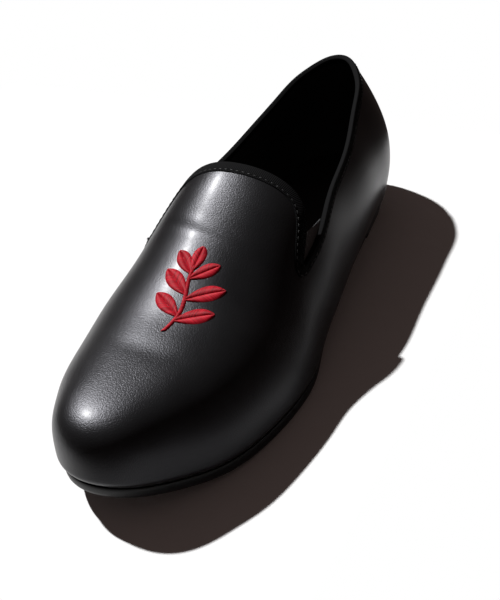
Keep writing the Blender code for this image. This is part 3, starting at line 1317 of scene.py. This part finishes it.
OUTSOLE_ROWS = (
    EdgeRow(10.0, 0.0),
    EdgeRow(0.8, 0.0),
    EdgeRow(0.3, 0.03),
    EdgeRow(0.05, 0.12),
    EdgeRow(0.0, 0.35),
    EdgeRow(0.0, 0.62),
    EdgeRow(0.15, 0.82),
    EdgeRow(0.45, 0.95),
    EdgeRow(0.9, 1.0),
    EdgeRow(10.0, 1.0),
)
HEEL_ROWS = (
    EdgeRow(8.0, 0.0),
    EdgeRow(0.3, 0.0),
    EdgeRow(0.0, 0.04),
    EdgeRow(0.0, 0.52),
    EdgeRow(0.3, 0.56),
    EdgeRow(0.0, 0.60),
    EdgeRow(0.0, 0.85),
    EdgeRow(0.3, 0.96),
    EdgeRow(1.0, 1.0),
    EdgeRow(8.0, 1.0),
)
INSOLE_ROWS = (
    EdgeRow(8.0, 0.0),
    EdgeRow(1.0, 0.0),
    EdgeRow(0.2, 0.15),
    EdgeRow(0.0, 0.5),
    EdgeRow(0.0, 1.0),
    EdgeRow(8.0, 1.0),
)


class GoreRow(NamedTuple):
    """Lower or upper edge of a gore: its front and back end and their heights."""

    front_y: float
    back_y: float
    front_z: float
    back_z: float


@dataclass
class Gore:
    """Ribbed elastic panel behind a notch, from under the tongue to under the quarter."""

    last: Last
    side: Side
    lower: GoreRow = GoreRow(119, 134, 42.0, 45.0)
    upper: GoreRow = GoreRow(125, 157, 61.0, 57.0)
    thickness: float = 1.0
    top_thickness: float = 0.3
    depth: float = 2.25
    rib_pitch: float = 1.1
    rib_height: float = 0.14
    rows: int = 24
    columns: int = 112
    probes: int = 12
    probe: float = 0.01

    def faces(self) -> tuple[Array, Array, Array]:
        """Lay the panel under the upper.

        Returns:
            Outer and inner face as grids, and the weave's lengths along and across.
        """
        last = self.last
        ticks = np.linspace(0, 1, self.probes)
        along = np.linspace(0, 1, self.columns + 1)
        points = np.empty((self.rows + 1, self.columns + 1, 3))
        normals = np.empty_like(points)
        for row, rise in enumerate(np.linspace(0, 1, self.rows + 1)):
            edge = GoreRow(*(np.array(self.lower) + (np.array(self.upper) - np.array(self.lower)) * rise))
            run_y = edge.back_y - edge.front_y
            spots_y = edge.front_y + run_y * ticks
            spots_z = edge.front_z + (edge.back_z - edge.front_z) * ticks
            shares = [last.share_at_height(y, z, self.side) for y, z in zip(spots_y, spots_z)]
            stations = last.station_at(edge.front_y + run_y * along)
            share = np.interp(along, ticks, shares)
            points[row] = last.point(stations, share, self.side)
            ahead = last.point(stations + self.probe, share, self.side) - points[row]
            above = last.point(stations, share + self.probe, self.side) - points[row]
            normals[row] = self.side.value * np.cross(ahead, above)
        normals = unit(normals)
        width = np.linalg.norm(np.diff(points, axis=1, prepend=points[:, :1]), axis=2).cumsum(axis=1)
        height = np.linalg.norm(np.diff(points, axis=0, prepend=points[:1]), axis=2).cumsum(axis=0)
        ribs = self.rib_height * (np.cos(2 * np.pi * width / self.rib_pitch) - 1)
        outer = points - (self.depth - ribs)[..., None] * normals
        depths = np.full((self.rows + 1, 1, 1), self.depth + self.thickness)
        depths[-1] = self.depth + self.top_thickness
        inner = points - depths * normals
        return outer, inner, np.stack([width, height], -1)

    def build(self) -> None:
        """Make the panel with its four edges closed."""
        outer, inner, weave = self.faces()
        facets = Facets(self.last)
        facets.grid(outer, weave=weave)
        facets.grid(inner, weave=weave)
        for end in (0, -1):
            facets.grid(np.array([outer[end], inner[end]]), weave=np.array([weave[end]] * 2))
            sides = np.array([outer[:, end], inner[:, end]])
            facets.grid(sides, weave=np.array([weave[:, end]] * 2))
        name = f"gore_{self.side.label}_elastic"
        add_piece(name, facets.mesh(name), GORE_ELASTIC, f"gore_{self.side.label}")


def closed_lengths(points: Array) -> Array:
    """Length from each point of a closed run to the next."""
    return np.linalg.norm(np.roll(points, -1, axis=0) - points, axis=1)


def resample_closed(points: Array, measure: Array, count: int) -> Array:
    """Points spread evenly over a measure along a closed run.

    Args:
        points: Points of the run.
        measure: Measure from each point to the next.
        count: Number of points to spread.

    Returns:
        The new points.
    """
    ends = np.concatenate([[0], np.cumsum(measure)])
    ring = np.concatenate([points, points[:1]])
    places = np.arange(count) * ends[-1] / count
    return np.stack([np.interp(places, ends, ring[:, axis]) for axis in range(3)], -1)


def blur_closed(values: Array, reach: int) -> Array:
    """Values of a closed run, each averaged with its neighbours.

    Args:
        values: Values along the run.
        reach: Width of the bell-shaped weights, in steps of the run.

    Returns:
        The averaged values.
    """
    offsets = np.arange(-3 * reach, 3 * reach + 1)
    weights = np.exp(-0.5 * (offsets / reach) ** 2)
    total = sum(weight * np.roll(values, -offset, axis=0) for offset, weight in zip(offsets, weights))
    return total / weights.sum()


class TapeRow(NamedTuple):
    """Row of the tape's outer leg: distance from its edge on the leather, and height."""

    inset: float
    height: float


@dataclass
class Tape:
    """Woven binding folded over the whole rim of the opening, with its row of stitches."""

    last: Last
    tongue_width: float = 5.6
    quarter_width: float = 3.6
    width_change: float = 16.0
    inner_width: float = 4.6
    thickness: float = 0.5
    rim_clearance: float = 0.1
    lining_clearance: float = 0.02
    tongue_probes: int = 400
    quarter_probes: int = 300
    corner_round: float = 0.9
    fine_step: float = 0.1
    step: float = 0.7
    corner_weight: float = 3.5
    normal_blur: int = 2
    walk_step: float = 0.25
    walk_margin: float = 1.0
    walk_end: float = 0.001
    roll_steps: int = 11
    roll_squareness: float = 0.75
    stitch_inset: float = 1.1
    stitch_length: float = 2.3
    stitch_gap: float = 0.8
    stitch_rise: float = 0.6
    thread_radius: float = 0.24
    groove_row: int = 4
    rows: tuple[TapeRow, ...] = (
        TapeRow(0.0, 0.0),
        TapeRow(0.04, 0.28),
        TapeRow(0.22, 0.44),
        TapeRow(0.7, 0.5),
        TapeRow(1.1, 0.34),
        TapeRow(1.5, 0.5),
        TapeRow(2.0, 0.56),
    )
    remaining: tuple[float, ...] = (0.3, 0.6, 0.85)
    inner_shares: tuple[float, ...] = (0.3, 0.65, 0.95)

    def rim(self) -> tuple[Array, Array]:
        """Follow the rim of the opening from the outer notch over the tongue and round the heel.

        Returns:
            Points along the rim, and the tape's width at each.
        """
        last = self.last
        rise = np.linspace(0, 1, self.tongue_probes) ** NOTCH_CROWDING
        notch_station = last.station_at(last.notch_y)
        stations = np.linspace(notch_station, LAST_STATION, self.quarter_probes)
        tongue = {}
        quarter = {}
        for side in Side:
            shares = last.notch_share(side) + (1 - last.notch_share(side)) * rise
            tongue[side] = last.point(last.tongue_station(shares, side), shares, side)
            quarter[side] = last.point(stations, last.quarter_edge(stations, side), side)
        halves = (
            tongue[Side.OUTER][:-1],
            tongue[Side.INNER][:0:-1],
            quarter[Side.INNER][:-1],
            quarter[Side.OUTER][:0:-1],
        )
        points = np.concatenate(halves)
        gaps = closed_lengths(points)
        points = resample_closed(points, gaps, round(gaps.sum() / self.fine_step))
        points = blur_closed(points, round(self.corner_round / self.fine_step))
        ahead = unit(np.roll(points, -1, axis=0) - np.roll(points, 1, axis=0))
        turn = np.linalg.norm(np.roll(ahead, -1, axis=0) - ahead, axis=1)
        measure = closed_lengths(points) + self.corner_weight * turn
        points = resample_closed(points, measure, round(measure.sum() / self.step))
        notches = [tongue[side][0] for side in Side]
        lengths = np.cumsum(closed_lengths(points))
        feet = [np.linalg.norm(points - notch, axis=1).argmin() for notch in notches]
        low, high = sorted(feet)
        inside = (lengths > lengths[low]) & (lengths < lengths[high])
        from_feet = np.minimum(abs(lengths - lengths[low]), abs(lengths - lengths[high]))
        on_tongue = 0.5 + np.where(inside, 0.5, -0.5) * np.clip(from_feet / self.width_change, 0, 1)
        width = self.quarter_width + (self.tongue_width - self.quarter_width) * ease(on_tongue)
        return points, width

    def walk(self, surface: Surface, rim: Array) -> tuple[Array, Array, Array]:
        """Step from the rim into the leather.

        Args:
            surface: Skin of the whole last.
            rim: Points along the rim.

        Returns:
            Points and normals by step and rim point, and the direction out over the rim.
        """
        points, normals = surface.nearest(rim)
        normals = unit(blur_closed(normals, self.normal_blur))
        ahead = unit(np.roll(points, -1, axis=0) - np.roll(points, 1, axis=0))
        inward = unit(np.cross(normals, ahead))
        outward = -inward
        depth = max(self.tongue_width, self.inner_width) + self.walk_margin
        walked = [points]
        facing = [normals]
        for _ in range(round(depth / self.walk_step)):
            points, normals = surface.nearest(points + inward * self.walk_step)
            inward = unit(inward - (inward * normals).sum(axis=1, keepdims=True) * normals)
            walked.append(points)
            facing.append(normals)
        return np.array(walked), np.array(facing), outward

    def build(self, surface: Surface) -> None:
        """Make the tape and its stitches.

        Args:
            surface: Skin of the whole last.
        """
        rim, width = self.rim()
        walked, facing, outward = self.walk(surface, rim)
        columns = np.arange(len(rim))

        def at(distance: Array, height: float) -> Array:
            """Points over the leather, beside the rim.

            Args:
                distance: Distance in from the rim, at each of its points.
                height: Height over the leather.

            Returns:
                Points in millimetres.
            """
            place = np.clip(distance / self.walk_step, 0, len(walked) - 1 - self.walk_end)
            low = place.astype(int)
            share = (place - low)[:, None]
            points = walked[low, columns] * (1 - share) + walked[low + 1, columns] * share
            normals = unit(facing[low, columns] * (1 - share) + facing[low + 1, columns] * share)
            return points + normals * height

        flat = np.zeros(len(rim))
        wall = self.last.wall
        rows = [at(width - row.inset, row.height) for row in self.rows]
        last_inset = self.rows[-1].inset
        rows += [at((width - last_inset) * (1 - share), self.rows[-1].height) for share in self.remaining]
        middle = at(flat, -wall / 2)
        for angle in np.linspace(np.pi / 2, -np.pi / 2, self.roll_steps):
            over = self.thickness * np.cos(angle) ** self.roll_squareness
            rise = abs(np.sin(angle)) ** self.roll_squareness * np.sign(angle)
            rows.append(middle + over * outward + (wall / 2 + self.thickness) * rise * facing[0])
        for share in self.inner_shares:
            rows.append(at(flat + share * self.inner_width, -wall - self.thickness))
        rows.append(at(flat + self.inner_width, -wall - self.lining_clearance))
        fold = middle + self.rim_clearance * outward
        rows += [fold - wall / 2 * facing[0], fold + wall / 2 * facing[0], rows[0]]
        grid = np.array(rows)
        grid = np.concatenate([grid, grid[:, :1]], axis=1)
        along = np.concatenate([[0], np.cumsum(closed_lengths(rim))])
        across = np.linalg.norm(np.diff(grid, axis=0, prepend=grid[:1]), axis=2).cumsum(axis=0)
        weave = np.stack([np.broadcast_to(along, across.shape), across], -1)
        facets = Facets(self.last)
        facets.grid(grid, weave=weave)
        add_piece("collar_tape", facets.mesh("collar_tape"), TAPE_CLOTH)
        seam_height = self.rows[self.groove_row].height + self.stitch_rise * self.thread_radius
        seam = at(width - self.stitch_inset, seam_height)
        row = StitchRow(self.last, self.stitch_length, self.stitch_gap, self.thread_radius)
        row.build("tape_stitches", seam, TAPE_THREAD)


class GeometryRig:
    """Geometry Nodes tree with named inputs, run once on a mesh of edges."""

    def __init__(self, name: str, sizes: dict[str, float]) -> None:
        """Start a tree with a geometry input, sizes and a finish.

        Args:
            name: Name of the tree.
            sizes: Named sizes and their values.
        """
        self.tree = bpy.data.node_groups.new(name, "GeometryNodeTree")
        self.bench = NodeBench(self.tree)
        self.values: dict[str, object] = {}
        face = self.tree.interface
        face.new_socket("Geometry", in_out="INPUT", socket_type="NodeSocketGeometry")
        for label, value in sizes.items():
            kind = "NodeSocketInt" if isinstance(value, int) else "NodeSocketFloat"
            self.values[face.new_socket(label, in_out="INPUT", socket_type=kind).identifier] = value
        self.finish_socket = face.new_socket("Finish", in_out="INPUT", socket_type="NodeSocketMaterial")
        face.new_socket("Geometry", in_out="OUTPUT", socket_type="NodeSocketGeometry")
        self.inputs = self.bench.add("NodeGroupInput").outputs

    def close(self, geometry: bpy.types.NodeSocket) -> None:
        """End the tree with smooth shading, real instances and the finish.

        Args:
            geometry: What the tree has made.
        """
        smooth = self.bench.add("GeometryNodeSetShadeSmooth", {"Geometry": geometry}).outputs["Geometry"]
        real = self.bench.add("GeometryNodeRealizeInstances", {"Geometry": smooth}).outputs["Geometry"]
        inputs = {"Geometry": real, "Material": self.inputs["Finish"]}
        dressed = self.bench.add("GeometryNodeSetMaterial", inputs).outputs["Geometry"]
        self.bench.add("NodeGroupOutput", {"Geometry": dressed})

    def run(self, base: bpy.types.Mesh, finish: Finish) -> bpy.types.Mesh:
        """Run the tree.

        Args:
            base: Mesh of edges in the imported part's frame.
            finish: Finish of what the tree makes.

        Returns:
            The plain mesh that the tree makes.
        """
        carrier = bpy.data.objects.new(base.name, base)
        bpy.context.scene.collection.objects.link(carrier)
        modifier = carrier.modifiers.new(self.tree.name, "NODES")
        modifier.node_group = self.tree
        for identifier, value in self.values.items():
            modifier[identifier] = value
        modifier[self.finish_socket.identifier] = finish.make()
        graph = bpy.context.evaluated_depsgraph_get()
        made = bpy.data.meshes.new_from_object(carrier.evaluated_get(graph), depsgraph=graph)
        bpy.data.objects.remove(carrier)
        bpy.data.meshes.remove(base)
        return made


@dataclass
class StitchRow:
    """Row of lockstitches along a closed seam, laid by Geometry Nodes."""

    last: Last
    length: float
    gap: float
    radius: float
    segments: int = 6
    rings: int = 4

    def rig(self) -> GeometryRig:
        """Set a stitch at each step of the seam, turned along it.

        Returns:
            The tree.
        """
        sizes = {
            "Stitch Pitch": (self.length + self.gap) * MILLIMETRE,
            "Half Stitch": self.length / 2 * MILLIMETRE,
            "Thread Radius": self.radius * MILLIMETRE,
        }
        rig = GeometryRig("stitch_row", sizes)
        bench = rig.bench
        curve = bench.add("GeometryNodeMeshToCurve", {"Mesh": rig.inputs["Geometry"]}).outputs["Curve"]
        along = {"Curve": curve, "Length": rig.inputs["Stitch Pitch"]}
        steps = bench.add("GeometryNodeResampleCurve", along, mode="LENGTH")
        facets = {"Segments": self.segments, "Rings": self.rings, "Radius": 1.0}
        ball = bench.add("GeometryNodeMeshUVSphere", facets)
        radius = rig.inputs["Thread Radius"]
        axes = {"X": rig.inputs["Half Stitch"], "Y": radius, "Z": radius}
        scale = bench.add("ShaderNodeCombineXYZ", axes)
        shape = {"Geometry": ball.outputs["Mesh"], "Scale": scale.outputs["Vector"]}
        stitch = bench.add("GeometryNodeTransform", shape).outputs["Geometry"]
        tangent = bench.add("GeometryNodeInputTangent").outputs["Tangent"]
        turn = bench.add("FunctionNodeAlignRotationToVector", {"Vector": tangent}, axis="X")
        places = {
            "Points": steps.outputs["Curve"],
            "Instance": stitch,
            "Rotation": turn.outputs["Rotation"],
        }
        rig.close(bench.add("GeometryNodeInstanceOnPoints", places).outputs["Instances"])
        return rig

    def build(self, name: str, seam: Array, finish: Finish) -> None:
        """Make the stitches.

        Args:
            name: Name of the piece.
            seam: Points of the closed seam.
            finish: Finish of the thread.
        """
        count = len(seam)
        edges = [(index, (index + 1) % count) for index in range(count)]
        base = bpy.data.meshes.new(name + "_seam")
        base.from_pydata(self.last.metres(seam).tolist(), edges, [])
        add_piece(name, self.rig().run(base, finish), finish, sharp=THREAD_SHARP)


class Leaf(NamedTuple):
    """Leaf of the sprig: place on the stem from 0 to 1, side, length, width and lean."""

    stem_share: float
    direction: int
    length: float
    width: float
    lean: float


@dataclass
class Sprig:
    """Generic leaf sprig in raised satin stitch on the vamp, its threads laid by Geometry Nodes."""

    last: Last
    centre_x: float = 3.0
    centre_y: float = 86.0
    height: float = 44.0
    stem_sway: float = 2.2
    stem_width: float = 2.0
    stem_end: float = 0.8
    stem_taper: float = 0.45
    stem_slant: float = 0.5
    leaf_belly: float = 0.8
    leaf_fullness: float = 0.8
    midrib_gap: float = 0.12
    slant: float = 0.75
    spacing: float = 0.42
    thread_radius: float = 0.26
    thread_sides: int = 6
    stitch_points: int = 7
    sunk: float = 0.12
    least_padding: float = 0.25
    padding_rate: float = 0.12
    padding: float = 0.55
    arch_fullness: float = 0.6
    tone_spread: float = 0.5
    seed: int = 7
    leaves: tuple[Leaf, ...] = (
        Leaf(0.14, 1, 18.0, 7.4, 58.0),
        Leaf(0.20, -1, 18.0, 7.4, 58.0),
        Leaf(0.40, 1, 18.5, 7.6, 54.0),
        Leaf(0.46, -1, 18.5, 7.6, 54.0),
        Leaf(0.64, 1, 15.0, 6.6, 46.0),
        Leaf(0.70, -1, 15.0, 6.6, 46.0),
        Leaf(0.74, 0, 12.5, 6.6, 0.0),
    )

    def stem(self, share: Array) -> Array:
        """Points of the stem in the sprig's plane: across, along."""
        along = self.height * (np.asarray(share) - 0.5)
        return np.stack([self.stem_sway * np.sin(2 * np.pi * np.asarray(share)), along], -1)

    def leaf_stitches(self, leaf: Leaf) -> list[tuple[Array, Array]]:
        """Stitches of a leaf, from its midrib out to its edge.

        Args:
            leaf: The leaf.

        Returns:
            Start and end of each stitch in the sprig's plane.
        """
        root = self.stem(leaf.stem_share)
        angle = np.radians(90 - leaf.direction * leaf.lean)
        ahead = np.array([np.cos(angle), np.sin(angle)])
        aside = np.array([-ahead[1], ahead[0]])
        stitches = []
        for place in np.arange(self.spacing, leaf.length, self.spacing):
            share = place / leaf.length
            half = leaf.width / 2 * np.sin(np.pi * share**self.leaf_belly) ** self.leaf_fullness
            reach = min(place + self.slant * half, leaf.length)
            for turn in (1, -1):
                start = root + ahead * place + aside * turn * self.midrib_gap
                stitches.append((start, root + ahead * reach + aside * turn * half))
        return stitches

    def stem_stitches(self) -> list[tuple[Array, Array]]:
        """Short slanted stitches along the stem.

        Returns:
            Start and end of each stitch in the sprig's plane.
        """
        stitches = []
        for share in np.arange(0, self.stem_end, self.spacing / self.height):
            centre = self.stem(share)
            half = self.stem_width / 2 * (1 - self.stem_taper * share)
            across = np.array([half, self.stem_slant])
            stitches.append((centre - across, centre + across))
        return stitches

    def rig(self) -> GeometryRig:
        """Sweep a round thread along each stitch.

        Returns:
            The tree.
        """
        sizes = {"Thread Radius": self.thread_radius * MILLIMETRE, "Thread Sides": self.thread_sides}
        rig = GeometryRig("satin_stitch", sizes)
        bench = rig.bench
        curve = bench.add("GeometryNodeMeshToCurve", {"Mesh": rig.inputs["Geometry"]}).outputs["Curve"]
        circle = {"Resolution": rig.inputs["Thread Sides"], "Radius": rig.inputs["Thread Radius"]}
        profile = bench.add("GeometryNodeCurvePrimitiveCircle", circle).outputs["Curve"]
        sweep = {"Curve": curve, "Profile Curve": profile, "Fill Caps": True}
        rig.close(bench.add("GeometryNodeCurveToMesh", sweep).outputs["Mesh"])
        return rig

    def build(self, skin: Surface) -> None:
        """Make the sprig.

        Args:
            skin: Outer face of the leather.
        """
        draw = np.random.default_rng(self.seed)
        stitches = self.stem_stitches()
        for leaf in self.leaves:
            stitches += self.leaf_stitches(leaf)
        shares = np.linspace(0, 1, self.stitch_points)
        arch = np.sin(np.pi * shares) ** self.arch_fullness
        points = []
        edges = []
        tints = []
        for start, end in stitches:
            length = np.linalg.norm(end - start)
            padding = min(self.padding, self.least_padding + self.padding_rate * length)
            plan = start + (end - start) * shares[:, None] + (self.centre_x, self.centre_y)
            places, normals = skin.below(plan)
            lift = -self.sunk + (self.sunk + padding) * arch
            first = len(points) * self.stitch_points
            points.append(places + normals * lift[:, None])
            edges += [(first + i, first + i + 1) for i in range(self.stitch_points - 1)]
            tint = 0.5 + self.tone_spread * (draw.random() - 0.5) * 2
            tints += [tint] * self.stitch_points
        base = bpy.data.meshes.new("sprig_stitches")
        base.from_pydata(self.last.metres(np.concatenate(points)).tolist(), edges, [])
        base.attributes.new("tint", "FLOAT", "POINT").data.foreach_set("value", tints)
        mesh = self.rig().run(base, SPRIG_THREAD)
        add_piece("vamp_sprig", mesh, SPRIG_THREAD, sharp=THREAD_SHARP)


def last_surface(last: Last, stations: int = 200, rows: int = 70) -> Surface:
    """Skin of the whole last, without the opening.

    Args:
        last: Form of the shoe.
        stations: Steps from the toe to the heel.
        rows: Steps from the sole edge to the crest.

    Returns:
        The skin.
    """
    facets = Facets(last)
    along = np.linspace(0, LAST_STATION, stations + 1)
    shares = np.linspace(0, 1, rows + 1)
    for side in Side:
        facets.grid(last.point(along[None, :], shares[:, None], side), flip=side is Side.INNER)
    return Surface(np.concatenate(facets.points), facets.faces)


@dataclass
class Studio:
    """Pale floor board in a white void, a sun-like key lamp, weak fill and the photograph's camera."""

    last: Last
    camera_place: tuple[float, float, float] = (222.1, -340.0, 320.0)
    azimuth: float = 33.2
    elevation: float = 37.33
    roll: float = -10.42
    lens: float = 60.3
    sensor: float = 36.0
    near_clip: float = 10.0
    floor_sides: tuple[float, float] = (-320.0, 98.0)
    floor_ends: tuple[float, float] = (-190.0, 205.0)
    floor_steps: int = 8
    sun_travel: tuple[float, float, float] = (0.589, -0.192, -0.785)
    sun_strength: float = 5.0
    sun_width: float = 1.5
    fill: float = 0.05
    fill_colour: Colour = (1.0, 0.72, 0.66)
    backdrop: float = 1.0
    backdrop_colour: Colour = (1.0, 1.0, 1.0)

    def build(self) -> None:
        """Make the floor, the lights and the camera."""
        self.make_floor()
        self.make_lights()
        self.make_camera()

    def make_floor(self) -> None:
        """Pale floor board under the shoe and its shadow."""
        sides = np.linspace(*self.floor_sides, self.floor_steps + 1)
        ends = np.linspace(*self.floor_ends, self.floor_steps + 1)
        grid = np.stack([*np.meshgrid(sides, ends), np.zeros((len(ends), len(sides)))], -1)
        facets = Facets(self.last)
        facets.grid(grid + self.last.middle)
        data = facets.mesh("floor")
        data.materials.append(PALE_FLOOR.make())
        floor = bpy.data.objects.new("floor", data)
        bpy.context.scene.collection.objects.link(floor)

    def make_lights(self) -> None:
        """Key lamp from the photograph's direction, a weak even fill and the white void."""
        lamp = bpy.data.lights.new("key_lamp", "SUN")
        lamp.energy = self.sun_strength
        lamp.angle = np.radians(self.sun_width)
        key = bpy.data.objects.new("key_lamp", lamp)
        key.rotation_mode = "QUATERNION"
        key.rotation_quaternion = Vector(self.sun_travel).to_track_quat("-Z", "Y")
        bpy.context.scene.collection.objects.link(key)
        world = bpy.data.worlds.new("studio")
        world.use_nodes = True
        bench = NodeBench(world.node_tree)
        seen = bench.add("ShaderNodeLightPath").outputs["Is Camera Ray"]
        background = world.node_tree.nodes["Background"].inputs
        bench.feed(background["Strength"], bench.span(seen, self.fill, self.backdrop))
        bench.feed(background["Color"], bench.blend(seen, self.fill_colour, self.backdrop_colour))
        bpy.context.scene.world = world
        bpy.context.scene.view_settings.view_transform = "Standard"

    def make_camera(self) -> None:
        """Camera at the photograph's angle, turned about its own axis as the photograph is."""
        azimuth, elevation, roll = np.radians((self.azimuth, self.elevation, self.roll))
        flat = np.cos(elevation)
        back = np.array([np.sin(azimuth) * flat, -np.cos(azimuth) * flat, np.sin(elevation)])
        level = unit(np.cross(-back, (0, 0, 1)))
        raised = np.cross(level, -back)
        right = np.cos(roll) * level + np.sin(roll) * raised
        above = np.cos(roll) * raised - np.sin(roll) * level
        turned = Matrix(np.stack([right, above, back], axis=1).tolist()).to_4x4()
        lens = bpy.data.cameras.new("camera")
        lens.lens = self.lens
        lens.sensor_width = self.sensor
        lens.clip_start = self.near_clip * MILLIMETRE
        camera = bpy.data.objects.new("camera", lens)
        place = Vector(self.camera_place) * MILLIMETRE
        camera.matrix_world = Matrix.Translation(place) @ turned
        bpy.context.scene.collection.objects.link(camera)
        bpy.context.scene.camera = camera


def main() -> None:
    """Build the shoe and its studio."""
    logging.basicConfig(level=logging.INFO, format="%(name)s: %(message)s")
    last = Last()
    skin = Upper(last).build()
    Tape(last).build(last_surface(last))
    for side in Side:
        Gore(last, side).build()
    Outsole(last, "outsole_rubber", "outsole", SOLE_RUBBER, OUTSOLE_ROWS).build()
    Heel(last, "heel_block", "heel", HEEL_RUBBER, HEEL_ROWS).build()
    Insole(last, "insole_sock", "insole", SOCK_LEATHER, INSOLE_ROWS).build()
    Sprig(last).build(skin)
    Studio(last).build()


if __name__ == "__main__":
    main()
